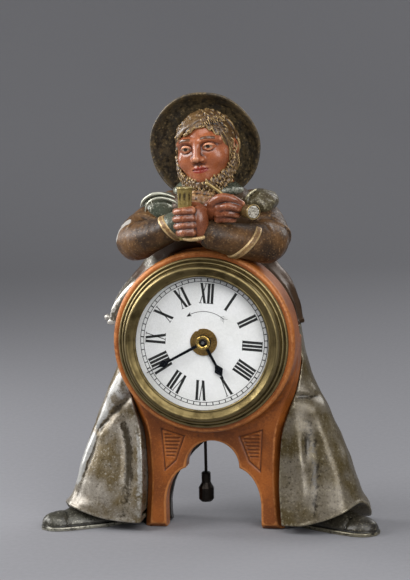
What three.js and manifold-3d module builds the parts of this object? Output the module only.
// Figural mantel clock: a bearded figure in a broad hat leans on a round alarm clock and straddles it.
// Millimetres, Z up, the dial faces -Y. The dial's axis is X = 0 while the pieces are being made,
// and the finished group is moved so that the middle of its footprint on the floor is the origin.
import * as THREE from 'three';
import { mergeVertices } from 'three/addons/utils/BufferGeometryUtils.js';
import Module from 'manifold-3d';

const wasm = await Module();
wasm.setup();

// Clearances
const seat = 0.3;               // between pieces that are cut to each other
const running = 0.3;            // between a turning piece and its hole
const rest = 0.1;               // between flat faces that are stacked

// Case
const dialAxisHeight = 113.3;
const drumFront = -30;
const ringMargin = 3.5;          // the ring stands out this far past the bezel
const ringLength = 24;
const ringEdge = 2.4;           // rounding of the ring's front edge
const boreRadius = 43;
const drumWall = 3;
const drumLength = 52;
const frameFront = -8;          // front face of apron and legs
const apronThickness = 5;
const legDepth = 12;
const legBevel = 3.6;           // how far the leg's bevelled side leans in at the front
const legFootHalf = 41.3;       // outer half width at the floor
const legWaistHalf = 39.4;
const legWaistHeight = 32;
const legInnerHalf = 28;
const archRadius = 15.5;
const archSpring = 36.6;        // height at which the upper round arch starts
const lowerArchHeight = 23;
const lowerArchInset = 3.5;     // the lower arch's middle lies this far inside the notch

// Bezel, glass, dial and hands
const bezelRadius = 48.8;
const bezelBand = 10.8;         // width of the ring between rim and opening
const bezelHeight = 8;
const bezelSkirt = 3.6;
const bezelSkirtWall = 1.5;
const bezelPull = 12;           // how far the friction-fit bezel slides off
const glassThickness = 1.5;
const dialSetback = 2;
const dialThickness = 1;
const dialFootRadius = 1.2;
const handThickness = 0.6;
const handGap = 0.5;
const alarmDiscRadius = 7.8;
const minuteHandLength = 37.3;
const hourHandLength = 23.6;
const minuteHandTurn = 241.9;   // degrees clockwise from twelve at the top
const hourHandTurn = 151.9;
const nutRadius = 4.1;

// Movement
const greatModule = 0.6;
const trainModule = 2 / 3;
const motionModule = 0.75;
const greatTeeth = 60;
const centrePinionTeeth = 10;
const centreTeeth = 48;
const thirdPinionTeeth = 6;
const thirdTeeth = 45;
const fourthPinionTeeth = 6;
const fourthTeeth = 36;
const escapePinionTeeth = 6;
const escapeTeeth = 14;
const escapeRadius = 7.5;
const cannonTeeth = 8;
const minuteWheelTeeth = 24;
const minutePinionTeeth = 8;
const hourTeeth = 32;
const wheelThickness = 1;
const endShake = 1.2;           // from a plate to the first wheel
const escapeStep = 1.8;
const layerStep = 3.6;          // from one wheel's layer to the next
const motionSpace = 5.5;        // between dial and front plate
const plateThickness = 1.5;
const arborRadius = 0.9;
const pivotRadius = 0.45;
const pillarRadius = 2.4;
const barrelRadius = 15.5;
const barrelWall = 0.9;
const barrelAngle = 225;        // direction of the barrel from the dial's axis, from +X towards +Z
const barrelArborRadius = 2.2;
const springThickness = 0.5;
const springTurns = 4;
const ratchetRadius = 5;
const alarmBarrelRadius = 9.5;
const alarmBarrelPlace = [19, -20];
const escapePlace = [-5.8, 21];
const fourthAngle = 25;         // direction of the fourth arbor from the escape arbor
const anchorRise = 10.6;        // from escape arbor to anchor arbor
const anchorGap = 1;            // the pallets stay this clear of the escape wheel's tips
const pendulumY = 3;
const pendulumRodRadius = 0.9;
const pendulumSwing = 4;        // degrees each way
const bobRadius = 4.5;
const bobNeckRadius = 2.7;
const bobTop = 31.6;
const bobShoulder = 24.6;
const bobBottom = 14.1;
const bellRadius = 14;
const bellPlace = [16, 20];
const hammerPlace = [31, -3];
const hammerArm = 17.6;
const hammerHeadRadius = 2.2;
const hammerReach = 2;          // degrees towards the bell
const coverThickness = 1.5;
const coverScrewRadius = 0.8;
const keyStemRadius = 1.6;
const winderLength = 12;
const knobRadius = 5;

// Figure; heights of the upper body are taken from the top of the drum that it leans on
const coatDrop = 46.6;          // from the drum's top to the coat's lower edge
const trouserHem = 4.8;         // the hem's height in front
const trouserHemBack = 0.6;     // and behind, where the cloth nearly sweeps the floor
const legGap = 0.4;             // from the middle to each trouser leg
const hatRadius = 32.4;
const hatThickness = 1.8;
const hatDish = 5.4;            // the brim's rim stands this far forward
const hatCrownRadius = 19.5;
const hatCrownDepth = 27.5;
const hatTilt = 12;             // degrees, the crown points back and this much up
const hatPlace = [-1.4, 3, 58.4];
const headPlace = [0.6, -9, 55.9];
const headTilt = 8;
const tumblerPlace = [-6.6, -42];
const tumblerRise = 7.4;        // from the drum's top to the tumbler's foot
const tumblerHeight = 29.6;
const tumblerTopRadius = 4.6;
const tumblerBaseRadius = 3.4;
const tumblerWall = 0.8;
const tumblerHollow = 3;        // a shallow casting, hollowed only under its rim
const pipeBowlRadius = 4.2;
const pipeBowlLength = 12;
const pipeStemRadius = 1;

// Sizes that follow from the ones above
const ringRadius = bezelRadius + ringMargin;
const sleeveRadius = boreRadius + drumWall;
const drumTop = dialAxisHeight + ringRadius;
const coatBottom = drumTop - coatDrop;
const tumblerBottom = drumTop + tumblerRise;
const tumblerTop = tumblerBottom + tumblerHeight;
const overDrum = ([x, y, z, ...rest]) => [x, y, drumTop + z, ...rest];
const bezelOpening = bezelRadius - bezelBand;
const ringBack = drumFront + ringLength;
const drumBack = drumFront + drumLength;
const frameBack = frameFront + legDepth;
const apronBack = frameFront + apronThickness;
const dialFront = drumFront + dialSetback;
const dialBack = dialFront + dialThickness;
const frontPlateFront = dialBack + motionSpace;
const frontPlateBack = frontPlateFront + plateThickness;
const greatLayer = frontPlateBack + endShake;
const escapeLayer = greatLayer + escapeStep;
const fourthLayer = escapeLayer + layerStep;
const thirdLayer = fourthLayer + layerStep;
const centreLayer = thirdLayer + layerStep;
const backPlateFront = centreLayer + wheelThickness + endShake;
const backPlateBack = backPlateFront + plateThickness;
const plateRadius = boreRadius - seat;
const coverFront = drumBack + rest;
const coverBack = coverFront + coverThickness;

const radians = THREE.MathUtils.degToRad;

// Solids: three.js geometry in, joined and cut solids out

function solid(geometry) {
  const bare = new THREE.BufferGeometry();
  bare.setAttribute('position', geometry.getAttribute('position'));
  bare.setIndex(geometry.index);
  const merged = mergeVertices(bare, 1e-4);
  const corners = merged.index.array;
  const at = i => new THREE.Vector3().fromBufferAttribute(merged.attributes.position, i);
  const triangles = [];
  let volume = 0;
  for (let i = 0; i < corners.length; i += 3) {
    const [a, b, c] = [corners[i], corners[i + 1], corners[i + 2]];
    if (a === b || b === c || c === a) continue;
    triangles.push([a, b, c]);
    volume += at(a).dot(at(b).cross(at(c)));
  }
  const outward = volume > 0 ? triangles : triangles.map(([a, b, c]) => [a, c, b]);
  return new wasm.Manifold(new wasm.Mesh({
    numProp: 3,
    vertProperties: Float32Array.from(merged.attributes.position.array),
    triVerts: Uint32Array.from(outward.flat()),
  }));
}

function join(...bodies) {
  return bodies.reduce((whole, body) => whole.add(body));
}

function cut(body, ...tools) {
  return tools.reduce((left, tool) => left.subtract(tool), body);
}

// A cut through a curved piece can leave crumbs beside it; the piece is the largest body
function largest(body) {
  return body.decompose().reduce((best, part) => (part.volume() > best.volume() ? part : best));
}

// Turned round an axis along Y; the profile is pairs of radius and y and closes on itself
function turned(profile, sides = 36) {
  const points = profile.map(([radius, y]) => new THREE.Vector2(radius, y));
  if (profile[0][0] > 0) points.push(points[0].clone());
  return solid(new THREE.LatheGeometry(points, sides));
}

// The same profile with every side moved out, so that a neighbour can be cut with room to spare
function outset(profile, grow) {
  const count = profile.length;
  const closed = profile[0][0] > 0;
  const edge = i => {
    const [a, b] = [profile[(i + count) % count], profile[(i + 1 + count) % count]];
    const length = Math.hypot(b[0] - a[0], b[1] - a[1]);
    return [(b[1] - a[1]) / length, -(b[0] - a[0]) / length];
  };
  const area = profile.reduce((sum, [r, y], i) => {
    const [nextR, nextY] = profile[(i + 1) % count];
    return sum + r * nextY - nextR * y;
  }, 0);
  const out = Math.sign(area) * grow;
  return profile.map(([r, y], i) => {
    const [after, before] = [edge(i), edge(i - 1)];
    if (!closed && i === 0) return [0, y + out * Math.sign(after[1])];
    if (!closed && i === count - 1) return [0, y + out * Math.sign(before[1])];
    const share = 1 + before[0] * after[0] + before[1] * after[1];
    return [r + out * (before[0] + after[0]) / share, y + out * (before[1] + after[1]) / share];
  });
}

function rod(radius, front, back, sides = 12) {
  return turned([[0, front], [radius, front], [radius, back], [0, back]], sides);
}

function tube(outer, inner, front, back, sides = 24) {
  return turned([[inner, front], [outer, front], [outer, back], [inner, back]], sides);
}

// An outline in X and Z made thick from front to back along Y
function slab(points, front, back) {
  const shape = new THREE.Shape(points.map(([x, z]) => new THREE.Vector2(x, z)));
  const flat = new THREE.ExtrudeGeometry(shape, { depth: back - front, bevelEnabled: false });
  return solid(flat.rotateX(Math.PI / 2).translate(0, back, 0));
}

function block(x0, x1, y0, y1, z0, z1) {
  const box = new THREE.BoxGeometry(x1 - x0, y1 - y0, z1 - z0);
  return solid(box.translate((x0 + x1) / 2, (y0 + y1) / 2, (z0 + z1) / 2));
}

// A closed skin over a row of rings that all have the same number of points
function skin(rings) {
  const sides = rings[0].length;
  const points = rings.flat();
  const middle = ring => ring.reduce((sum, p) => sum.add(p), new THREE.Vector3()).divideScalar(sides);
  const first = points.push(middle(rings[0])) - 1;
  const last = points.push(middle(rings[rings.length - 1])) - 1;
  const top = (rings.length - 1) * sides;
  const index = [];
  for (let i = 0; i < sides; i++) {
    const j = (i + 1) % sides;
    index.push(first, j, i, last, top + i, top + j);
    for (let k = 0; k < top; k += sides) {
      index.push(k + i, k + j, k + sides + j, k + i, k + sides + j, k + sides + i);
    }
  }
  const geometry = new THREE.BufferGeometry().setFromPoints(points);
  geometry.setIndex(index);
  return solid(geometry);
}

// A level ring of a garment: left, right, front and back, squarer as the power rises
function garmentRing({ z, left, right, front, back }, grow, sides = 16, power = 2.5) {
  const middleX = (left + right) / 2;
  const ring = [];
  for (let i = 0; i < sides; i++) {
    const angle = (i / sides) * 2 * Math.PI;
    const c = Math.cos(angle);
    const s = Math.sin(angle);
    const x = middleX + Math.sign(c) * Math.abs(c) ** (2 / power) * ((right - left) / 2 + grow);
    const y = (front + back) / 2 + Math.sign(s) * Math.abs(s) ** (2 / power) * ((back - front) / 2 + grow);
    ring.push(new THREE.Vector3(x, y, z));
  }
  return ring;
}

// A round limb along a smooth line: stops are x, y, z and radius, with rounded ends
function limb(stops, grow = 0, sides = 9, steps = 8) {
  const line = new THREE.CatmullRomCurve3(stops.map(([x, y, z]) => new THREE.Vector3(x, y, z)));
  const swell = new THREE.SplineCurve(stops.map(([, , , r], i) => new THREE.Vector2(i, r)));
  const rings = [];
  const addRing = (t, shrink, shift) => {
    const along = line.getTangent(t);
    const across = new THREE.Vector3(0, 0, 1).cross(along).normalize();
    const up = along.clone().cross(across);
    const radius = swell.getPoint(t).y + grow;
    const centre = line.getPoint(t).addScaledVector(along, shift * radius);
    const ring = [];
    for (let i = 0; i < sides; i++) {
      const angle = (i / sides) * 2 * Math.PI;
      ring.push(centre.clone()
        .addScaledVector(across, Math.cos(angle) * radius * shrink)
        .addScaledVector(up, Math.sin(angle) * radius * shrink));
    }
    rings.push(ring);
  };
  addRing(0, 0.6, -0.5);
  for (let i = 0; i <= steps; i++) addRing(i / steps, 1, 0);
  addRing(1, 0.6, 0.5);
  return skin(rings);
}

function ball(x, y, z, radiusX, radiusY, radiusZ, sides = 12) {
  const sphere = new THREE.SphereGeometry(1, sides, Math.round(sides * 0.7));
  return solid(sphere.rotateX(Math.PI / 2).scale(radiusX, radiusY, radiusZ).translate(x, y, z));
}

// Toothed wheels

const wheelTooth = { addendum: 0.7, dedendum: 1.3, tip: 0.25 };
const pinionTooth = { addendum: 0.5, dedendum: 1.3, tip: 0.2 };

const pitchRadius = (teeth, size) => teeth * size / 2;

// Three points a tooth: both corners of its tip, then the root beside it
function toothed(teeth, size, tooth, phase, front, back) {
  const pitch = 2 * Math.PI / teeth;
  const tipRadius = pitchRadius(teeth, size) + tooth.addendum * size;
  const rootRadius = pitchRadius(teeth, size) - tooth.dedendum * size;
  const points = [];
  for (let i = 0; i < teeth; i++) {
    const middle = phase + i * pitch;
    for (const [radius, angle] of [
      [tipRadius, middle - tooth.tip * pitch / 2],
      [tipRadius, middle + tooth.tip * pitch / 2],
      [rootRadius, middle + pitch / 2],
    ]) points.push([radius * Math.cos(angle), radius * Math.sin(angle)]);
  }
  return slab(points, front, back);
}

// Phase of the driven wheel so that its gaps meet the teeth of a driver in the given direction
function meshPhase(driverTeeth, driverPhase, drivenTeeth, direction) {
  const offset = (direction - driverPhase) / (2 * Math.PI / driverTeeth);
  return direction + Math.PI + (2 * Math.PI / drivenTeeth) * (offset + 0.5);
}

const polar = (angle, radius) => [radius * Math.cos(angle), radius * Math.sin(angle)];
const direction = ([x0, z0], [x1, z1]) => Math.atan2(z1 - z0, x1 - x0);

// The place that lies at one distance from each of two others, to the right of the line between them
function meeting([x0, z0], radius0, [x1, z1], radius1) {
  const span = Math.hypot(x1 - x0, z1 - z0);
  const along = (radius0 ** 2 - radius1 ** 2 + span ** 2) / (2 * span);
  const off = Math.sqrt(radius0 ** 2 - along ** 2);
  const [ux, uz] = [(x1 - x0) / span, (z1 - z0) / span];
  return [x0 + along * ux + off * uz, z0 + along * uz - off * ux];
}

// Places of the arbors, from the dial's axis
const centrePlace = [0, 0];
const barrelPlace = polar(radians(barrelAngle), pitchRadius(greatTeeth + centrePinionTeeth, greatModule));
const fourthReach = pitchRadius(fourthTeeth + escapePinionTeeth, trainModule);
const fourthPlace = polar(radians(fourthAngle), fourthReach).map((v, i) => v + escapePlace[i]);
const thirdPlace = meeting(
  centrePlace, pitchRadius(centreTeeth + thirdPinionTeeth, trainModule),
  fourthPlace, pitchRadius(thirdTeeth + fourthPinionTeeth, trainModule));
const minuteWheelReach = pitchRadius(cannonTeeth + minuteWheelTeeth, motionModule);
const minuteWheelPlace = [minuteWheelReach, 0];
const anchorPlace = [escapePlace[0], escapePlace[1] + anchorRise];
const anchorHeight = dialAxisHeight + anchorPlace[1];
const pendulumReach = radians(pendulumSwing);

// Finishes: colour, roughness, metalness
const finishes = {
  paintedCase: [0x96552d, 0.45, 0.3],
  bezelBrass: [0x74623a, 0.35, 0.9],
  brass: [0xb58d3c, 0.35, 0.9],
  steel: [0x8d9096, 0.35, 0.9],
  blued: [0x14161c, 0.35, 0.7],
  enamel: [0xf3f3f0, 0.25, 0],
  glass: [0xdfe8ea, 0.05, 0],
  flesh: [0xa55032, 0.35, 0.2],
  coat: [0x54432f, 0.5, 0.3],
  flap: [0x5a5f50, 0.5, 0.3],
  hat: [0x231e19, 0.6, 0.2],
  trousers: [0x78705f, 0.45, 0.5],
  shoe: [0x3c3e37, 0.5, 0.4],
  tumbler: [0x8a7a2c, 0.2, 0.1],
  pipe: [0x6e5f2c, 0.45, 0.2],
};

const clock = new THREE.Group();
const movement = new THREE.Group();
movement.position.z = dialAxisHeight;
clock.add(movement);

function place(group, name, body, finish, [x, z] = [0, 0]) {
  const { vertProperties, triVerts } = body.getMesh();
  const geometry = new THREE.BufferGeometry();
  geometry.setAttribute('position', new THREE.BufferAttribute(vertProperties, 3));
  geometry.setIndex(new THREE.BufferAttribute(triVerts, 1));
  const [color, roughness, metalness] = finishes[finish];
  const mesh = new THREE.Mesh(geometry, new THREE.MeshStandardMaterial({ color, roughness, metalness }));
  mesh.name = name;
  mesh.position.set(x, 0, z);
  group.add(mesh);
}

// Case: the drum with its wide front ring, and the apron with two legs under it

const frameOuter = [
  [legFootHalf, 0], [legWaistHalf, legWaistHeight], [legWaistHalf + 1.4, 56], [45.2, 71],
  [49, 82], [51.4, 96], [ringRadius - 0.4, dialAxisHeight],
];

function frameOutline(inset) {
  const outer = new THREE.SplineCurve(frameOuter.map(([x, z]) => new THREE.Vector2(x - inset, z)));
  const lowerCentre = archRadius - lowerArchInset;
  const lowerReach = legInnerHalf - lowerCentre;
  const lowerSpring = archSpring - lowerArchHeight;
  const half = outer.getPoints(16).reverse().map(p => [p.x, p.y]);
  half.push([legInnerHalf, 0]);
  const startAngle = Math.acos((archRadius - lowerCentre) / lowerReach);
  for (let i = 0; i <= 6; i++) {
    const angle = startAngle * i / 6;
    half.push([lowerCentre + lowerReach * Math.cos(angle), lowerSpring + lowerArchHeight * Math.sin(angle)]);
  }
  for (let i = 1; i <= 7; i++) {
    const angle = (Math.PI / 2) * i / 7;
    half.push([archRadius * Math.cos(angle), archSpring + archRadius * Math.sin(angle)]);
  }
  const mirrored = half.slice(0, -1).reverse().map(([x, z]) => [-x, z]);
  return [...half, ...mirrored].reverse();
}

// Between two outlines of the same point count, one at the front and one at the back
function bevelledSlab(frontOutline, backOutline, front, back) {
  const flat = backOutline.map(([x, z]) => new THREE.Vector2(x, z));
  const faces = THREE.ShapeUtils.triangulateShape(flat, []);
  const count = flat.length;
  const points = [
    ...frontOutline.map(([x, z]) => new THREE.Vector3(x, front, z)),
    ...backOutline.map(([x, z]) => new THREE.Vector3(x, back, z)),
  ];
  const index = faces.flatMap(([a, b, c]) => [a, b, c, count + a, count + c, count + b]);
  for (let i = 0; i < count; i++) {
    const j = (i + 1) % count;
    index.push(i, count + i, count + j, i, count + j, j);
  }
  const geometry = new THREE.BufferGeometry().setFromPoints(points);
  geometry.setIndex(index);
  return solid(geometry);
}

const swingAt = height => Math.tan(pendulumReach) * (anchorHeight - height);

function clockCase() {
  const drum = turned([
    [1, drumFront], [ringRadius - ringEdge, drumFront],
    [ringRadius - ringEdge * 0.3, drumFront + ringEdge * 0.3], [ringRadius, drumFront + ringEdge],
    [ringRadius, ringBack], [sleeveRadius, ringBack], [sleeveRadius, drumBack], [1, drumBack],
  ], 36).translate([0, 0, dialAxisHeight]);
  const legs = join(
    bevelledSlab(frameOutline(legBevel), frameOutline(0), frameFront, apronBack),
    slab(frameOutline(0), apronBack, frameBack));
  const bottom = dialAxisHeight - sleeveRadius;
  const hollow = block(-legInnerHalf - 2, legInnerHalf + 2, apronBack, frameBack + 1, -1, bottom + 0.5);
  const slotHalf = swingAt(bottom) + pendulumRodRadius + 1.2;
  const slotDepth = pendulumRodRadius + 1.2;
  const slot = block(escapePlace[0] - slotHalf, escapePlace[0] + slotHalf,
    pendulumY - slotDepth, pendulumY + slotDepth, bottom - 1, bottom + 2 * drumWall);
  const bore = rod(boreRadius, drumFront - 1, drumBack + 1, 36).translate([0, 0, dialAxisHeight]);
  const screwHoles = coverScrewPlaces.map(([x, z]) => rod(coverScrewRadius + running / 2, drumBack - 6,
    drumBack + 1, 8).translate([x, 0, z + dialAxisHeight]));
  return largest(cut(join(drum, legs), hollow, bore, slot, ...screwHoles));
}

// Everything that the drum and the bezel's way off take up, for cutting the figure
function clockEnvelope() {
  const bezelWay = bezelRadius + 2 * seat;
  const ringWay = ringRadius + seat;
  const sleeveWay = sleeveRadius + seat;
  const nearEnd = drumFront - bezelHeight - 2 * bezelPull;
  const farEnd = coverBack + 40;
  const drum = turned([
    [0, nearEnd], [bezelWay, nearEnd], [bezelWay, drumFront - seat], [ringWay, drumFront - seat],
    [ringWay, ringBack + seat], [sleeveWay, ringBack + seat], [sleeveWay, farEnd], [0, farEnd],
  ], 36).translate([0, 0, dialAxisHeight]);
  const outline = frameOutline(-seat).map(([x, z]) => [x, z === 0 ? -1 : z]);
  return join(drum, slab(outline, drumFront, frameBack + seat));
}

const coverScrewCircle = boreRadius + drumWall / 2;
const coverScrewPlaces = [90, 210, 330].map(angle => polar(radians(angle), coverScrewCircle));

place(clock, 'clock_case', clockCase(), 'paintedCase');

// Bezel and glass

const glassSeat = bezelOpening + 1.4;
const glassFront = drumFront - bezelHeight + 3.4;
const glassBack = glassFront + glassThickness;
const skirtOuter = boreRadius - running;
const skirtInner = skirtOuter - bezelSkirtWall;

function bezel() {
  const base = drumFront - rest;
  const crest = drumFront - bezelHeight;
  return turned([
    [skirtOuter, base], [bezelRadius, base], [bezelRadius, base - 1.6], [bezelRadius - 1.2, base - 2.2],
    [bezelRadius - 2.4, base - 1.2], [bezelRadius - 4.2, crest + 1.6], [bezelRadius - 6.2, crest],
    [bezelRadius - 7.8, crest + 0.8], [bezelOpening, glassFront - rest],
    [glassSeat + running, glassFront - rest], [glassSeat + running, glassBack + rest],
    [skirtInner, glassBack + rest + 1], [skirtInner, drumFront + bezelSkirt],
    [skirtOuter, drumFront + bezelSkirt],
  ], 36);
}

place(movement, 'bezel', bezel(), 'bezelBrass');
place(movement, 'bezel_glass', rod(glassSeat, glassFront, glassBack, 36), 'glass');

// Dial, alarm disc and hands

const arborHole = arborRadius + running;
const cannonPipe = arborHole + 0.7;
const hourBore = cannonPipe + running;
const hourPipe = hourBore + 0.8;
const alarmBore = hourPipe + running;
const alarmPipe = alarmBore + 0.8;
const alarmFront = dialFront - rest - handThickness;
const hourHandBack = alarmFront - handGap;
const hourHandFront = hourHandBack - handThickness;
const minuteHandBack = hourHandFront - handGap;
const minuteHandFront = minuteHandBack - handThickness;
const nutFront = minuteHandFront - rest - 0.9;
const dialRadius = skirtInner - running;
const dialFootPlaces = [[-dialRadius * 0.6, dialRadius * 0.6], [dialRadius * 0.7, -dialRadius * 0.5]];

function dialPlate() {
  const plate = tube(dialRadius, alarmPipe + running, dialFront, dialBack, 36);
  const foot = rod(dialFootRadius, dialBack - 0.2, frontPlateFront - rest, 8);
  const feet = dialFootPlaces.map(([x, z]) => foot.translate([x, 0, z]));
  return join(plate, ...feet);
}

function alarmDisc() {
  const disc = join(
    tube(alarmDiscRadius, alarmBore, alarmFront, alarmFront + handThickness, 24),
    tube(alarmPipe, alarmBore, alarmFront, dialBack + 0.2, 12));
  const [x, z] = polar(radians(118), alarmDiscRadius + 0.4);
  return cut(disc, rod(1.1, alarmFront - 1, alarmFront + handThickness + 1, 8).translate([x, 0, z]));
}

// A hand with a lozenge, lying towards twelve before it is turned
function hand(length, lozengeAt, lozengeHalf, hub, bore, front, back) {
  const root = 0.9;
  const blade = slab([
    [-root, 0], [root, 0], [root * 0.75, lozengeAt - lozengeHalf * 1.3], [lozengeHalf, lozengeAt],
    [root * 0.5, lozengeAt + lozengeHalf * 1.3], [0.2, length], [-0.2, length],
    [-root * 0.5, lozengeAt + lozengeHalf * 1.3], [-lozengeHalf, lozengeAt],
    [-root * 0.75, lozengeAt - lozengeHalf * 1.3],
  ], front, back);
  return cut(join(blade, rod(hub, front, back, 20)), rod(bore, front - 1, back + 1, 16));
}

place(movement, 'dial_plate', dialPlate(), 'enamel');
place(movement, 'alarm_disc', alarmDisc(), 'brass');
place(movement, 'hour_hand', hand(hourHandLength, 18.2, 2.6, hourPipe + 1.4, hourPipe + rest,
  hourHandFront, hourHandBack).rotate([0, hourHandTurn, 0]), 'blued');
place(movement, 'minute_hand', hand(minuteHandLength, 26, 2.2, cannonPipe + 1.6, cannonPipe + rest,
  minuteHandFront, minuteHandBack).rotate([0, minuteHandTurn, 0]), 'blued');
place(movement, 'hand_nut', turned([
  [arborRadius + rest, nutFront], [nutRadius - 0.6, nutFront], [nutRadius, nutFront + 0.4],
  [nutRadius, minuteHandFront - rest], [arborRadius + rest, minuteHandFront - rest],
], 18), 'brass');

// Motion work between dial and front plate

const hourLayer = dialBack + 0.6;
const minuteLayer = frontPlateFront - 0.8 - wheelThickness;
const minuteStud = 0.8;
const pinionOver = 0.4;         // a pinion stands this far past the wheel that drives it on each side

const cannonPhase = 0;
const minuteWheelPhase = meshPhase(cannonTeeth, cannonPhase, minuteWheelTeeth,
  direction(centrePlace, minuteWheelPlace));
const hourPhase = meshPhase(minutePinionTeeth, minuteWheelPhase, hourTeeth,
  direction(minuteWheelPlace, centrePlace));
const hourModule = minuteWheelReach / pitchRadius(minutePinionTeeth + hourTeeth, 1);

function cannonPinion() {
  const teeth = toothed(cannonTeeth, motionModule, pinionTooth, cannonPhase,
    minuteLayer - pinionOver, minuteLayer + wheelThickness + pinionOver);
  const pipe = rod(cannonPipe, minuteHandFront, minuteLayer + wheelThickness + pinionOver, 16);
  return cut(join(teeth, pipe), rod(arborHole, minuteHandFront - 1, frontPlateFront, 12));
}

function minuteWheel() {
  const wheel = toothed(minuteWheelTeeth, motionModule, wheelTooth, minuteWheelPhase,
    minuteLayer, minuteLayer + wheelThickness);
  const pinion = toothed(minutePinionTeeth, hourModule, pinionTooth, minuteWheelPhase,
    hourLayer - pinionOver, minuteLayer + wheelThickness / 2);
  return cut(join(wheel, pinion), rod(minuteStud + running, dialBack, frontPlateFront, 8));
}

function hourWheel() {
  const wheel = toothed(hourTeeth, hourModule, wheelTooth, hourPhase,
    hourLayer, hourLayer + wheelThickness);
  const pipe = rod(hourPipe, hourHandFront, hourLayer + wheelThickness / 2, 16);
  return cut(join(wheel, pipe), rod(hourBore, hourHandFront - 1, hourLayer + 2 * wheelThickness, 16));
}

place(movement, 'cannon_pinion', cannonPinion(), 'steel');
place(movement, 'minute_wheel', minuteWheel(), 'brass', minuteWheelPlace);
place(movement, 'hour_wheel', hourWheel(), 'brass');

// Plates, pillars and cock

const pillarPlaces = [50, 130, 195, 345].map(angle => polar(radians(angle), plateRadius - pillarRadius - 1));
const trainPlaces = [thirdPlace, fourthPlace, escapePlace];

function plate(front, back, openings) {
  const disc = rod(plateRadius, front, back, 30);
  const hole = ([[x, z], radius]) => rod(radius, front - 1, back + 1, 8).translate([x, 0, z]);
  return cut(disc, ...openings.map(hole));
}

const pivotHole = pivotRadius + running;

function frontPlate() {
  const pivots = [...trainPlaces, anchorPlace, barrelPlace, alarmBarrelPlace, hammerPlace];
  const stud = rod(minuteStud, hourLayer, frontPlateBack - 0.2, 8).translate([minuteWheelPlace[0], 0, 0]);
  const body = plate(frontPlateFront, frontPlateBack,
    [[centrePlace, arborHole], ...pivots.map(spot => [spot, pivotHole])]);
  return join(body, stud);
}

function backPlate() {
  const through = [[centrePlace, arborHole], [anchorPlace, arborHole], [hammerPlace, arborHole],
    [barrelPlace, barrelArborRadius + running], [alarmBarrelPlace, barrelArborRadius + running]];
  return plate(backPlateFront, backPlateBack, [...through, ...trainPlaces.map(spot => [spot, pivotHole])]);
}

place(movement, 'front_plate', frontPlate(), 'brass');
place(movement, 'back_plate', backPlate(), 'brass');
pillarPlaces.forEach((spot, i) => place(movement, `plate_pillar_${i + 1}`,
  rod(pillarRadius, frontPlateBack + rest, backPlateFront - rest, 10), 'brass', spot));

// Going train

function arbor(radius, back = backPlateFront - rest) {
  return join(
    rod(radius, frontPlateBack + rest, back, 8),
    rod(pivotRadius, frontPlateFront + rest, backPlateBack - rest, 8));
}

function wheelOn(shaft, teeth, phase, layer) {
  return join(shaft, toothed(teeth, trainModule, wheelTooth, phase, layer, layer + wheelThickness));
}

function pinionAt(teeth, phase, layer, size = trainModule) {
  return toothed(teeth, size, pinionTooth, phase, layer - pinionOver, layer + wheelThickness + pinionOver);
}

const centreSleeve = arborHole + 0.6;
const centrePinionPhase = 0;
const greatPhase = meshPhase(centrePinionTeeth, centrePinionPhase, greatTeeth,
  direction(centrePlace, barrelPlace));
const centrePhase = 0;
const thirdPhase = meshPhase(centreTeeth, centrePhase, thirdPinionTeeth, direction(centrePlace, thirdPlace));
const fourthPhase = meshPhase(thirdTeeth, 0, fourthPinionTeeth, direction(thirdPlace, fourthPlace));
const escapePhase = meshPhase(fourthTeeth, 0, escapePinionTeeth, direction(fourthPlace, escapePlace));

// The centre wheel and its pinion sit on one sleeve, friction-tight on the arbor that carries the hands
function centreWheel() {
  const sleeve = rod(centreSleeve, greatLayer - pinionOver, centreLayer + wheelThickness + pinionOver, 12);
  const wheel = wheelOn(sleeve, centreTeeth, centrePhase, centreLayer);
  const pinion = pinionAt(centrePinionTeeth, centrePinionPhase, greatLayer, greatModule);
  return cut(join(wheel, pinion), rod(arborHole, frontPlateBack, backPlateFront, 12));
}

function escapeWheel() {
  const points = [];
  for (let i = 0; i < escapeTeeth; i++) {
    const pitch = 2 * Math.PI / escapeTeeth;
    points.push(polar(i * pitch, escapeRadius), polar((i + 0.3) * pitch, escapeRadius * 0.74));
  }
  const wheel = slab(points, escapeLayer, escapeLayer + wheelThickness);
  return join(arbor(arborRadius), wheel, pinionAt(escapePinionTeeth, escapePhase, fourthLayer));
}

const knobFront = coverBack + 1;
const knobDepth = 5;

place(movement, 'centre_arbor', rod(arborRadius, nutFront + rest, knobFront + knobDepth - 1, 12), 'steel');
place(movement, 'centre_wheel', centreWheel(), 'brass');
place(movement, 'third_wheel', join(wheelOn(arbor(arborRadius), thirdTeeth, 0, thirdLayer),
  pinionAt(thirdPinionTeeth, thirdPhase, centreLayer)), 'brass', thirdPlace);
place(movement, 'fourth_wheel', join(wheelOn(arbor(arborRadius), fourthTeeth, 0, fourthLayer),
  pinionAt(fourthPinionTeeth, fourthPhase, thirdLayer)), 'brass', fourthPlace);
place(movement, 'escape_wheel', escapeWheel(), 'brass', escapePlace);

// Mainspring barrel with its great wheel, cover, spring and arbor; ratchet, click and key

const barrelFloor = greatLayer + wheelThickness;
const barrelEnd = centreLayer - 0.8;
const barrelCoverFront = barrelEnd - wheelThickness;
const barrelInner = barrelRadius - barrelWall;
const ratchetFront = backPlateBack + 0.4;
const ratchetTeeth = 16;

function springBarrel() {
  const great = toothed(greatTeeth, greatModule, wheelTooth, greatPhase, greatLayer, barrelFloor);
  const wall = tube(barrelRadius, barrelInner, barrelFloor - 0.2, barrelEnd, 20);
  return cut(join(great, wall), rod(barrelArborRadius + running, greatLayer - 1, barrelFloor + 1, 12));
}

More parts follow.
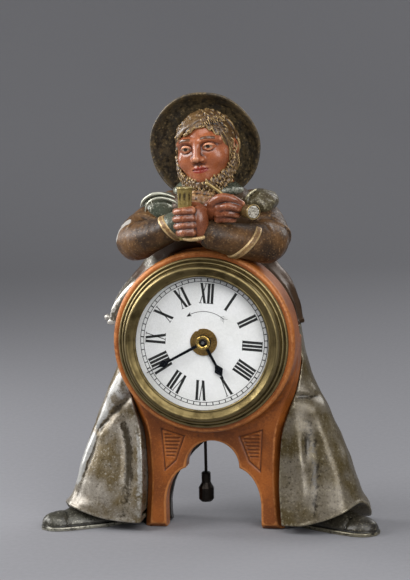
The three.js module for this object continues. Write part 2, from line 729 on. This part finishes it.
// A flat strip wound inwards from the barrel's wall to the arbor
function mainspring() {
  const outer = barrelInner - running - springThickness / 2;
  const inner = barrelArborRadius + 1.2 + springThickness;
  const stepsPerTurn = 12;
  const steps = springTurns * stepsPerTurn;
  const rings = [];
  for (let i = 0; i <= steps; i++) {
    const angle = (i / stepsPerTurn) * 2 * Math.PI;
    const radius = outer + (inner - outer) * (i / steps);
    rings.push([[-1, -1], [1, -1], [1, 1], [-1, 1]].map(([side, end]) => {
      const [x, z] = polar(angle, radius + side * springThickness / 2);
      const middle = (barrelFloor + barrelCoverFront) / 2;
      return new THREE.Vector3(x, middle + end * ((barrelCoverFront - barrelFloor) / 2 - running), z);
    }));
  }
  return skin(rings);
}

function toothedRatchet() {
  const points = [];
  for (let i = 0; i < ratchetTeeth; i++) {
    const pitch = 2 * Math.PI / ratchetTeeth;
    points.push(polar(i * pitch, ratchetRadius), polar((i + 0.15) * pitch, ratchetRadius * 0.84));
  }
  const wheel = slab(points, ratchetFront, ratchetFront + wheelThickness);
  return cut(wheel, rod(barrelArborRadius + rest, ratchetFront - 1, ratchetFront + 2, 12));
}

// The click's nose stays just clear of the ratchet's tips
function click() {
  const nose = ratchetRadius + seat;
  return slab([
    [-nose - 0.2, -0.4], [-nose - 5, -2.2], [-nose - 7, -1], [-nose - 7, 1.4], [-nose - 5, 2],
    [-nose - 0.2, 0.5],
  ], ratchetFront - 0.3, ratchetFront + wheelThickness);
}

const winderFront = coverBack + 1.2;

// Two flat wings on a stem, with rounded outer ends
function windingKey(bodyRadius, boreSize, length, wing) {
  const boss = rod(bodyRadius, winderFront, winderFront + length * 0.55, 14);
  const outline = [];
  for (let i = 0; i <= 8; i++) {
    const angle = -Math.PI / 2 + Math.PI * i / 8;
    outline.push([wing * 0.5 + wing * 0.5 * Math.cos(angle), wing * 0.62 * Math.sin(angle)]);
  }
  const both = [...outline, ...outline.map(([x, y]) => [-x, -y])];
  const shape = new THREE.Shape(both.map(([x, y]) => new THREE.Vector2(x, y)));
  const flat = new THREE.ExtrudeGeometry(shape, { depth: 1.6, bevelEnabled: false });
  const wings = solid(flat.translate(0, 0, -0.8)).translate([0, winderFront + length * 0.55 + wing * 0.3, 0]);
  return cut(join(boss, wings), rod(boreSize, winderFront - 1, winderFront + length * 0.4, 10));
}

place(movement, 'spring_barrel', springBarrel(), 'brass', barrelPlace);
place(movement, 'barrel_cover', tube(barrelInner - running, barrelArborRadius + running,
  barrelCoverFront, barrelEnd, 20), 'brass', barrelPlace);
place(movement, 'mainspring', mainspring(), 'steel', barrelPlace);
place(movement, 'barrel_arbor', join(
  rod(pivotRadius, frontPlateFront + rest, greatLayer, 8),
  rod(barrelArborRadius, frontPlateBack + 0.4, ratchetFront + wheelThickness + 0.4, 12),
  rod(keyStemRadius, ratchetFront, winderFront + winderLength * 0.35, 10)), 'steel', barrelPlace);
place(movement, 'ratchet_wheel', toothedRatchet(), 'steel', barrelPlace);
place(movement, 'ratchet_click', click(), 'steel', barrelPlace);
place(movement, 'winding_key', windingKey(3.4, keyStemRadius + rest, winderLength, 11), 'brass', barrelPlace);

// Anchor, crutch and pendulum swing on one axis

const crutchFront = backPlateBack + 0.5;
const palletAngle = radians(52);

function anchor() {
  const [wheelX, wheelZ] = [0, -anchorRise];
  const shaft = join(rod(pivotRadius, frontPlateFront + rest, escapeLayer, 8),
    rod(arborRadius * 0.9, frontPlateBack + rest, crutchFront + 1, 8));
  const outer = [];
  const inner = [];
  for (let i = 0; i <= 8; i++) {
    const angle = Math.PI / 2 - palletAngle + 2 * palletAngle * i / 8;
    const reach = escapeRadius + anchorGap;
    outer.push([wheelX + (reach + 1.6) * Math.cos(angle), wheelZ + (reach + 1.6) * Math.sin(angle)]);
    inner.push([wheelX + reach * Math.cos(angle), wheelZ + reach * Math.sin(angle)]);
  }
  const arms = slab([...outer, ...inner.reverse()], escapeLayer, escapeLayer + wheelThickness);
  const hub = rod(1.8, escapeLayer, escapeLayer + wheelThickness, 12);
  const crutch = slab([[-1, 0.8], [-1, -26], [1, -26], [1, 0.8]], crutchFront, crutchFront + 1);
  const pin = rod(0.7, crutchFront, pendulumY - pendulumRodRadius - rest, 8).translate([0, 0, -25]);
  return join(shaft, arms, hub, crutch, pin);
}

function pendulumRod() {
  const eye = tube(2.4, 1.1, pendulumY - 0.9, pendulumY + 0.9, 14).translate([0, 0, anchorHeight]);
  const top = anchorHeight - 1.6;
  const wire = new THREE.CylinderGeometry(pendulumRodRadius, pendulumRodRadius, top - bobShoulder, 10);
  const stem = solid(wire.rotateX(Math.PI / 2).translate(0, pendulumY, (top + bobShoulder) / 2));
  return join(eye, stem).translate([escapePlace[0], 0, 0]);
}

function pendulumBob() {
  const bore = pendulumRodRadius + rest;
  const profile = [
    [0, bobBottom], [bobRadius - 1.2, bobBottom], [bobRadius, bobBottom + 1.4],
    [bobRadius, bobShoulder - 2.4], [bobNeckRadius + 0.4, bobShoulder],
    [bobNeckRadius, bobShoulder + 0.8], [bobNeckRadius, bobTop - 0.6],
    [bobNeckRadius - 0.6, bobTop], [bore, bobTop], [bore, bobShoulder - rest], [0, bobShoulder - rest],
  ];
  return turned(profile, 14).rotate([90, 0, 0]).translate([escapePlace[0], pendulumY, 0]);
}

// The cock stands on the back plate and carries the pendulum's eye on a stud
function pendulumCock() {
  const foot = slab([[-4, 3.4], [4, 3.4], [4, 7.4], [-4, 7.4]], backPlateBack + rest, pendulumY + 2.6);
  const tongue = slab([[-2, -1.6], [2, -1.6], [4, 7.4], [-4, 7.4]], pendulumY + 1.2, pendulumY + 2.6);
  return join(foot, tongue, rod(1.1 - running, pendulumY - 1.4, pendulumY + 2, 8));
}

place(movement, 'anchor', anchor(), 'steel', anchorPlace);
place(movement, 'pendulum_cock', pendulumCock(), 'brass', anchorPlace);
place(clock, 'pendulum_rod', pendulumRod(), 'blued');
place(clock, 'pendulum_bob', pendulumBob(), 'blued');

// Alarm: barrel, key, hammer and bell

const bellFront = pendulumY + 4.4;
const bellDepth = 8;
const bellWall = 0.9;

function alarmBell() {
  const crown = bellFront + bellDepth;
  const dome = turned([
    [0, crown], [bellRadius * 0.6, crown - 1], [bellRadius * 0.92, crown - 4], [bellRadius, bellFront],
    [bellRadius - bellWall, bellFront], [bellRadius * 0.92 - bellWall, crown - 4 - bellWall * 0.5],
    [bellRadius * 0.6 - bellWall * 0.5, crown - 1 - bellWall], [0, crown - bellWall],
  ], 20);
  return join(dome, rod(1.6, backPlateBack + rest, crown - bellWall / 2, 8));
}

// The arm stands towards the bell's rim, its head just clear of it when the hammer is fully over
function alarmHammer() {
  const toBell = direction(hammerPlace, bellPlace);
  const span = Math.hypot(bellPlace[0] - hammerPlace[0], bellPlace[1] - hammerPlace[1]);
  const clear = bellRadius + hammerHeadRadius + seat + hammerArm * Math.sin(radians(hammerReach));
  const swing = Math.acos((span ** 2 + hammerArm ** 2 - clear ** 2) / (2 * span * hammerArm));
  const tip = polar(toBell - swing, hammerArm);
  const armLayer = bellFront + 1;
  const side = polar(toBell - swing + Math.PI / 2, 0.8);
  const arm = slab([[side[0], side[1]], [tip[0] + side[0], tip[1] + side[1]],
    [tip[0] - side[0], tip[1] - side[1]], [-side[0], -side[1]]].reverse(), armLayer, armLayer + 1);
  const head = rod(hammerHeadRadius, armLayer - 0.8, armLayer + 2.4, 12).translate([tip[0], 0, tip[1]]);
  return join(arm, head, rod(1.8, armLayer - 0.6, armLayer + 1.6, 10), rod(arborRadius, frontPlateBack + rest,
    armLayer + 1, 8), rod(pivotRadius, frontPlateFront + rest, armLayer, 8));
}

place(movement, 'alarm_barrel', join(
  tube(alarmBarrelRadius, 1, greatLayer, barrelEnd, 24),
  rod(barrelArborRadius, greatLayer, ratchetFront + wheelThickness, 12),
  rod(pivotRadius, frontPlateFront + rest, greatLayer + 1, 8),
  rod(keyStemRadius, ratchetFront, winderFront + winderLength * 0.35, 10)), 'brass', alarmBarrelPlace);
place(movement, 'alarm_key', windingKey(3, keyStemRadius + rest, winderLength, 8), 'brass', alarmBarrelPlace);
place(movement, 'alarm_bell', alarmBell(), 'brass', bellPlace);
place(movement, 'alarm_hammer', alarmHammer(), 'steel', hammerPlace);

// Back cover with its screws, and the setting knob

function backCover() {
  const holes = [
    [centrePlace, arborHole],
    ...[barrelPlace, alarmBarrelPlace].map(spot => [spot, keyStemRadius + running]),
    ...coverScrewPlaces.map(spot => [spot, coverScrewRadius + running / 2]),
  ];
  const disc = rod(sleeveRadius - rest, coverFront, coverBack, 32);
  return cut(disc, ...holes.map(([[x, z], radius]) => rod(radius, coverFront - 1, coverBack + 1, 8)
    .translate([x, 0, z])));
}

function coverScrew() {
  return join(rod(coverScrewRadius, drumBack - 5, coverBack + 0.6, 8),
    turned([[0, coverBack + rest], [1.5, coverBack + rest], [1.3, coverBack + 1], [0, coverBack + 1.2]], 12));
}

function settingKnob() {
  const points = [];
  const grooves = 14;
  for (let i = 0; i < 2 * grooves; i++) {
    points.push(polar(Math.PI * i / grooves, i % 2 ? knobRadius - 0.4 : knobRadius));
  }
  return cut(slab(points, knobFront, knobFront + knobDepth),
    rod(arborRadius + rest, knobFront - 1, knobFront + knobDepth - 1 + rest, 12));
}

place(movement, 'back_cover', backCover(), 'brass');
coverScrewPlaces.forEach((spot, i) => place(movement, `cover_screw_${i + 1}`, coverScrew(), 'steel', spot));
place(movement, 'setting_knob', settingKnob(), 'brass');

// Figure

const envelope = clockEnvelope();

// Head with hair and beard in one casting
function headShape(grow = 0) {
  const [x, y, z] = overDrum(headPlace);
  const skull = ball(x, y + 1, z + 1, 18.6 + grow, 17.5 + grow, 20.2 + grow, 14);
  const jaw = ball(x, y - 2, z - 10.5, 15.5 + grow, 15 + grow, 12.5 + grow, 12);
  const nose = ball(x - 3.4, y - 17.2, z - 0.5, 2.6 + grow, 3.4 + grow, 3.6 + grow, 8);
  const fringe = ball(x - 4, y - 11.5, z + 15.5, 10 + grow, 6.5 + grow, 5 + grow, 8);
  const neck = limb([[x, y + 2, z - 14, 12], [x, y + 8, z - 30, 11]], grow, 10, 2);
  return join(join(skull, jaw, nose, fringe).translate([-x, -y, -z]).rotate([0, -headTilt, 0])
    .translate([x, y, z]), neck);
}

// A broad brim that frames the head, dished forward, with the crown behind
function hatShape(grow = 0) {
  const crown = hatCrownRadius;
  const inside = crown - hatThickness;
  const profile = [
    [0, hatCrownDepth - hatThickness], [inside - 3.4, hatCrownDepth - hatThickness - 1.2],
    [inside, 18], [inside, 5], [hatRadius - 8, 0.5], [hatRadius - 2.5, -4.5],
    [hatRadius, -hatDish], [hatRadius, hatThickness - hatDish],
    [hatRadius - 6, 0.2 + hatThickness], [crown + 3, 3.6 + hatThickness], [crown, 7 + hatThickness],
    [crown, 20], [crown - 4, hatCrownDepth - 1], [0, hatCrownDepth],
  ];
  return turned(outset(profile, grow), 20).rotate([hatTilt, 0, 0]).translate(overDrum(hatPlace));
}

const coatRings = [
  { z: -coatDrop, left: -63, right: 50.5, front: -3, back: 27 },
  { z: -39.6, left: -62.5, right: 51, front: -4, back: 27.5 },
  { z: -25.6, left: -56.5, right: 50, front: -5, back: 28 },
  { z: -10.6, left: -51, right: 48.5, front: -7, back: 27.5 },
  { z: 4.4, left: -45, right: 44.5, front: -12, back: 26.5 },
  { z: 16.4, left: -38, right: 38.5, front: -15, back: 25 },
  { z: 25.4, left: -30.5, right: 31.5, front: -15, back: 23 },
  { z: 32.4, left: -19, right: 20, front: -12, back: 20 },
  { z: 36.4, left: -12, right: 13, front: -6, back: 16 },
].map(ring => ({ ...ring, z: drumTop + ring.z }));

const coatShape = (grow = 0) => skin(coatRings.map((ring, i) => garmentRing(
  { ...ring, z: ring.z + (i === coatRings.length - 1 ? grow : 0) - (i === 0 ? grow : 0) }, grow)));

// Sleeves run from shoulder to elbow and fold across the top of the drum
const sleeveLeftStops = [
  [24, 6, 23.4, 8.5], [33, -3, 13.4, 10.4], [36, -15, 3.8, 11.8], [27, -27, 4.6, 10.2],
  [15, -35, 7.6, 8.9], [8, -38, 9.4, 8.2],
].map(overDrum);
const sleeveRightStops = [
  [-22, 6, 23.4, 8.5], [-34, -4, 13.9, 10.4], [-40.2, -15, 4.6, 11.6], [-31, -25, 7.2, 9.6],
  [-19, -29.5, 12, 8.2], [-9, -30.5, 16.4, 7.6], [0, -31, 20.4, 7.2],
].map(overDrum);

const handLeftCentre = overDrum([-3.8, -42, 17.4]);
const handRightCentre = overDrum([14.2, -36.5, 24.8]);

// A closed hand: the palm, and four fingers bent round what it holds
function handLeftShape(grow = 0) {
  const [x, y, z] = handLeftCentre;
  const palm = limb([
    [x + 10, y + 4, z - 7, 5.4], [x + 6.5, y + 2, z - 2, 6.4], [x + 5, y + 1, z + 5, 4.6],
  ], grow, 8, 4);
  const fingers = [7, 2.4, -2.2, -6.6].map(rise => limb([
    [x + 6.4, y - 1.5, z + rise, 2.6], [x + 0.5, y - 7.4, z + rise - 0.6, 2.6],
    [x - 6.6, y - 5.6, z + rise - 1.2, 2.4],
  ], grow, 6, 3));
  return join(palm, ...fingers);
}

function handRightShape(grow = 0) {
  const [x, y, z] = handRightCentre;
  const palm = limb([
    [x - 11, y + 7, z - 3, 5.4], [x - 4, y + 1.6, z - 0.8, 6.4], [x + 5, y + 0.6, z + 0.4, 5],
  ], grow, 8, 4);
  const fingers = [[-3.6, 5.2], [0.2, 2.8], [3.8, 0], [6.6, -3]].map(([out, rise]) => limb([
    [x + out - 1, y - 0.5, z + rise + 1.4, 2.5], [x + out + 2.6, y - 5.4, z + rise - 0.6, 2.5],
    [x + out + 1.8, y - 5.2, z + rise - 5.6, 2.1],
  ], grow, 6, 3));
  return join(palm, ...fingers);
}

function tumbler(grow = 0) {
  const profile = [
    [0, tumblerBottom], [tumblerBaseRadius + 0.6, tumblerBottom],
    [tumblerBaseRadius + 0.6, tumblerBottom + 1], [tumblerBaseRadius, tumblerBottom + 2],
    [tumblerTopRadius, tumblerTop], [tumblerTopRadius - tumblerWall, tumblerTop],
    [tumblerTopRadius - tumblerWall, tumblerTop - tumblerHollow], [0, tumblerTop - tumblerHollow],
  ];
  return turned(outset(profile, grow), 16).rotate([90, 0, 0]).translate([...tumblerPlace, 0]);
}

// Tobacco pipe: the bowl faces outwards and forwards, the stem runs through the hand to the mouth
const pipeFoot = overDrum([25.4, -36, 23]);
const pipeTurn = 37;            // degrees from straight forward, towards +X

function pipeShape(grow = 0) {
  const inside = pipeBowlRadius - 0.8;
  const profile = [
    [0, 0], [pipeBowlRadius * 0.8, 0], [pipeBowlRadius, -pipeBowlLength * 0.4],
    [pipeBowlRadius, -pipeBowlLength], [inside, -pipeBowlLength],
    [inside, -pipeBowlLength + 1.6], [0, -pipeBowlLength + 1.6],
  ];
  const bowl = turned(outset(profile, grow), 14).rotate([0, 0, pipeTurn]).translate(pipeFoot);
  const [x, y, z] = pipeFoot;
  const stem = limb([[x + 1, y - 1.6, z, pipeStemRadius + 0.8], [x - 8, y - 2, z + 4, pipeStemRadius],
    [x - 16, y + 1, z + 9.4, pipeStemRadius], [x - 21.5, y + 6.4, z + 15, pipeStemRadius]], grow, 6, 6);
  return join(bowl, stem);
}

// Shoulder flaps: two layers of rounded cape on each shoulder, leaning outwards
const flapLayers = [
  { reach: 29, y: -5, z: 21.9, half: [12.5, 11, 6.6], lean: 26 },
  { reach: 23, y: -4.5, z: 27, half: [13, 12, 5.4], lean: 24 },
];

function flapShape(side) {
  return join(...flapLayers.map(({ reach, y, z, half, lean }) =>
    ball(0, 0, 0, ...half, 10).rotate([0, side * lean, 0]).translate(overDrum([side * reach, y, z]))));
}

const head = headShape();
const headRoom = headShape(seat);
const hat = largest(cut(hatShape(), headRoom));
const coat = largest(cut(coatShape(), envelope, headRoom, hatShape(seat)));
const coatRoom = coatShape(seat);
const sleeveLeft = largest(cut(limb(sleeveLeftStops), envelope, coatRoom));
const sleeveLeftRoom = limb(sleeveLeftStops, seat);
const sleeveRight = largest(cut(limb(sleeveRightStops), envelope, coatRoom, sleeveLeftRoom));
const sleeveRightRoom = limb(sleeveRightStops, seat);
const tumblerRoom = tumbler(seat);
const handLeft = largest(cut(handLeftShape(),
  sleeveLeftRoom, sleeveRightRoom, tumblerRoom, headRoom, envelope));
const handLeftRoom = handLeftShape(seat);
const pipeRoom = pipeShape(seat);
const handRight = largest(cut(handRightShape(),
  sleeveLeftRoom, sleeveRightRoom, handLeftRoom, pipeRoom, headRoom));
const handRightRoom = handRightShape(seat);
const pipe = largest(cut(pipeShape(), headRoom, sleeveLeftRoom));
const sleeveWays = [coatRoom, sleeveLeftRoom, sleeveRightRoom, headRoom, handRightRoom, pipeRoom];
const flap = side => largest(cut(flapShape(side), ...sleeveWays, hatShape(seat)));

place(clock, 'head', head, 'flesh');
place(clock, 'hat', hat, 'hat');
place(clock, 'coat', coat, 'coat');
place(clock, 'sleeve_left', sleeveLeft, 'coat');
place(clock, 'sleeve_right', sleeveRight, 'coat');
place(clock, 'hand_left', handLeft, 'flesh');
place(clock, 'hand_right', handRight, 'flesh');
place(clock, 'beer_glass', tumbler(), 'tumbler');
place(clock, 'tobacco_pipe', pipe, 'pipe');
place(clock, 'shoulder_flap_left', flap(1), 'flap');
place(clock, 'shoulder_flap_right', flap(-1), 'flap');

// Trousers and shoes; left and right are the figure's own, and each leg has its own widths

// Levels over the hem are shares of the waist's height. The hem is raised over the shoe at a spot
// x, y by lift, fading over spread. A fold's stops are height, place, width and how far it stands out
const trouserLeft = {
  overShoe: { x: 88, y: -9, lift: 12, spread: 22 },
  rings: [
    { level: 0, left: 27.5, right: 90.4, front: -19.4, back: 29 },
    { level: 0.16, left: 26.5, right: 86.2, front: -18, back: 28.4 },
    { level: 0.235, left: 23.5, right: 83, front: -16, back: 28 },
    { level: 0.345, left: 15, right: 78.6, front: -13, back: 27.5 },
    { level: 0.47, left: legGap, right: 72.4, front: -9.5, back: 27 },
    { level: 0.605, left: legGap, right: 65.2, front: -6.8, back: 27 },
    { level: 0.723, left: legGap, right: 57.8, front: -4.6, back: 27 },
    { level: 0.882, left: legGap, right: 52.5, front: -3.4, back: 27 },
    { level: 1, left: legGap, right: 50.5, front: -3, back: 26.5 },
  ],
  folds: [
    [[6, 53, 6, 1.8], [28, 53.5, 6, 2.2], [45, 53, 6, 2.4], [60, 50, 5.5, 2], [80, 47, 5, 0]],
    [[8, 62, 5, -0.4], [25, 61.5, 4.5, -1.2], [40, 60, 4.5, -2], [52, 58.5, 4.5, -1.8], [66, 57, 4, 0]],
    [[18, 78, 5, 1], [38, 72, 5, 1.3], [55, 66, 4.5, 1.4], [68, 61, 4.5, 0.6], [76, 58, 4.5, 0]],
  ],
};
const trouserRight = {
  overShoe: { x: -90, y: -9, lift: 9, spread: 24 },
  rings: [
    { level: 0, left: -90.4, right: -27.5, front: -19.4, back: 29 },
    { level: 0.16, left: -85.4, right: -26.5, front: -18, back: 28.4 },
    { level: 0.235, left: -82.4, right: -23.5, front: -16, back: 28 },
    { level: 0.345, left: -79, right: -15, front: -13, back: 27.5 },
    { level: 0.47, left: -73.8, right: -legGap, front: -9.5, back: 27 },
    { level: 0.605, left: -67.6, right: -legGap, front: -6.8, back: 27 },
    { level: 0.748, left: -60, right: -legGap, front: -4.6, back: 27 },
    { level: 0.882, left: -56.5, right: -legGap, front: -3.4, back: 27 },
    { level: 1, left: -55, right: -legGap, front: -3, back: 26.5 },
  ],
  folds: [
    [[6, -51, 6, -0.4], [20, -50, 5, -1.6], [31, -48.8, 4.5, -2.6], [46, -48.8, 4.2, -2.8],
      [57, -51.2, 4, -2.6], [66, -54.5, 4, -1.6], [74, -57, 4, 0]],
    [[6, -43, 6, 1.6], [28, -41.5, 5.5, 2.6], [45, -41.5, 5, 2.8], [57, -43.5, 4.5, 2.2], [72, -46, 4, 0]],
    [[14, -83, 4, 1], [26, -78.5, 3.5, 1.3], [45, -71, 3.5, 1.3], [66, -62, 3.5, 0.8], [76, -58, 3.5, 0]],
  ],
};
const trouserSteps = 2;         // rings from one named level to the next, where there are folds
const trouserFrontPoints = 20;
const trouserBackPoints = 7;
const trouserPower = 2.8;

// The value of a row of stops at a height, straight between its neighbours
function between(stops, height, part) {
  const upper = stops.findIndex(stop => stop[0] >= height);
  if (upper === 0) return stops[0][part];
  if (upper < 0) return stops[stops.length - 1][part];
  const [a, b] = [stops[upper - 1], stops[upper]];
  return a[part] + (b[part] - a[part]) * (height - a[0]) / (b[0] - a[0]);
}

function foldAt(folds, x, z) {
  return folds.reduce((sum, stops) => {
    const [place, width, out] = [1, 2, 3].map(part => between(stops, z, part));
    return sum + out * Math.exp(-(((x - place) / width) ** 2));
  }, 0);
}

// One level of a trouser leg: a squarish ring with more points in front, where the folds are
function trouserRing(leg, level) {
  const named = leg.rings.map(ring => [ring.level, ring.left, ring.right, ring.front, ring.back]);
  const [left, right, front, back] = [1, 2, 3, 4].map(part => between(named, level, part));
  const [middleX, middleY] = [(left + right) / 2, (front + back) / 2];
  const [halfX, halfY] = [(right - left) / 2, (back - front) / 2];
  const { x: shoeX, y: shoeY, lift, spread } = leg.overShoe;
  const ring = [];
  const addPoint = (u, side) => {
    const v = side * (1 - Math.abs(u) ** trouserPower) ** (1 / trouserPower);
    const x = middleX + u * halfX;
    const facing = THREE.MathUtils.smoothstep(-v, 0.05, 0.5);
    const low = trouserHem + (trouserHemBack - trouserHem) * THREE.MathUtils.smoothstep(v, -0.4, 0.4);
    const away = (x - shoeX) ** 2 + (middleY + v * halfY - shoeY) ** 2;
    const hem = low + lift * Math.exp(-away / spread ** 2);
    const z = level === 0 ? hem : level * (coatBottom - seat);
    ring.push(new THREE.Vector3(x, middleY + v * halfY - facing * foldAt(leg.folds, x, z), z));
  };
  for (let i = 0; i <= trouserFrontPoints; i++) {
    addPoint(Math.sin((i / trouserFrontPoints - 0.5) * Math.PI), -1);
  }
  for (let i = 1; i <= trouserBackPoints; i++) {
    addPoint(Math.sin((0.5 - i / (trouserBackPoints + 1)) * Math.PI), 1);
  }
  return ring;
}

// A flat-soled shoe along a line on the floor: width and height at each stop from heel to toe
const shoeStops = [[0, 10, 13], [8, 11, 15], [20, 11, 14], [30, 10.5, 11.5], [38, 9, 9.5], [43.5, 5.5, 6.5]];

function shoeShape([heelX, heelY], [toeX, toeY], grow = 0) {
  const along = new THREE.Vector3(toeX - heelX, toeY - heelY, 0).normalize();
  const across = new THREE.Vector3(-along.y, along.x, 0);
  const rings = shoeStops.map(([reach, half, height], i) => {
    const end = i === 0 ? -grow : i === shoeStops.length - 1 ? grow : 0;
    const ring = [];
    for (let k = 0; k < 12; k++) {
      const angle = (k / 12) * 2 * Math.PI;
      const up = Math.max(-0.7, Math.sin(angle));
      ring.push(new THREE.Vector3(heelX, heelY, 0)
        .addScaledVector(along, reach + end)
        .addScaledVector(across, Math.cos(angle) * (half + grow))
        .setZ(up < 0 ? -up / 0.7 * (-grow) + (1 + up / 0.7) * height * 0.3
          : height * 0.3 + up * (height * 0.7 + grow)));
    }
    return ring;
  });
  return skin(rings);
}

const shoeLeftLine = [[58, 8], [97, -17]];
const shoeRightLine = [[-62.5, 6], [-101.5, -19]];
const shoeLeft = shoeShape(...shoeLeftLine);
const shoeRight = shoeShape(...shoeRightLine);

// The room in which rod and bob swing
const swingRoom = block(
  escapePlace[0] - swingAt(bobBottom) - bobRadius - 1, escapePlace[0] + swingAt(bobBottom) + bobRadius + 1,
  apronBack, pendulumY + bobRadius + 1.2, -1, dialAxisHeight);

function trouser(leg, shoeLine) {
  const levels = leg.rings.flatMap(({ level }, i) => {
    const next = leg.rings[i + 1];
    const steps = i === 0 || level > 0.6 ? 1 : trouserSteps;
    return next ? Array.from({ length: steps }, (_, k) => level + (next.level - level) * k / steps) : [level];
  });
  const cloth = skin(levels.map(level => trouserRing(leg, level)));
  return largest(cut(cloth, envelope, swingRoom, shoeShape(...shoeLine, seat)));
}

place(clock, 'trouser_left', trouser(trouserLeft, shoeLeftLine), 'trousers');
place(clock, 'trouser_right', trouser(trouserRight, shoeRightLine), 'trousers');
place(clock, 'shoe_left', shoeLeft, 'shoe');
place(clock, 'shoe_right', shoeRight, 'shoe');

// The middle of the footprint on the floor becomes the origin
clock.updateMatrixWorld(true);
const extent = new THREE.Box3().setFromObject(clock, true);
const footprint = extent.getCenter(new THREE.Vector3());
clock.position.set(-footprint.x, -footprint.y, -extent.min.z);

export default clock;
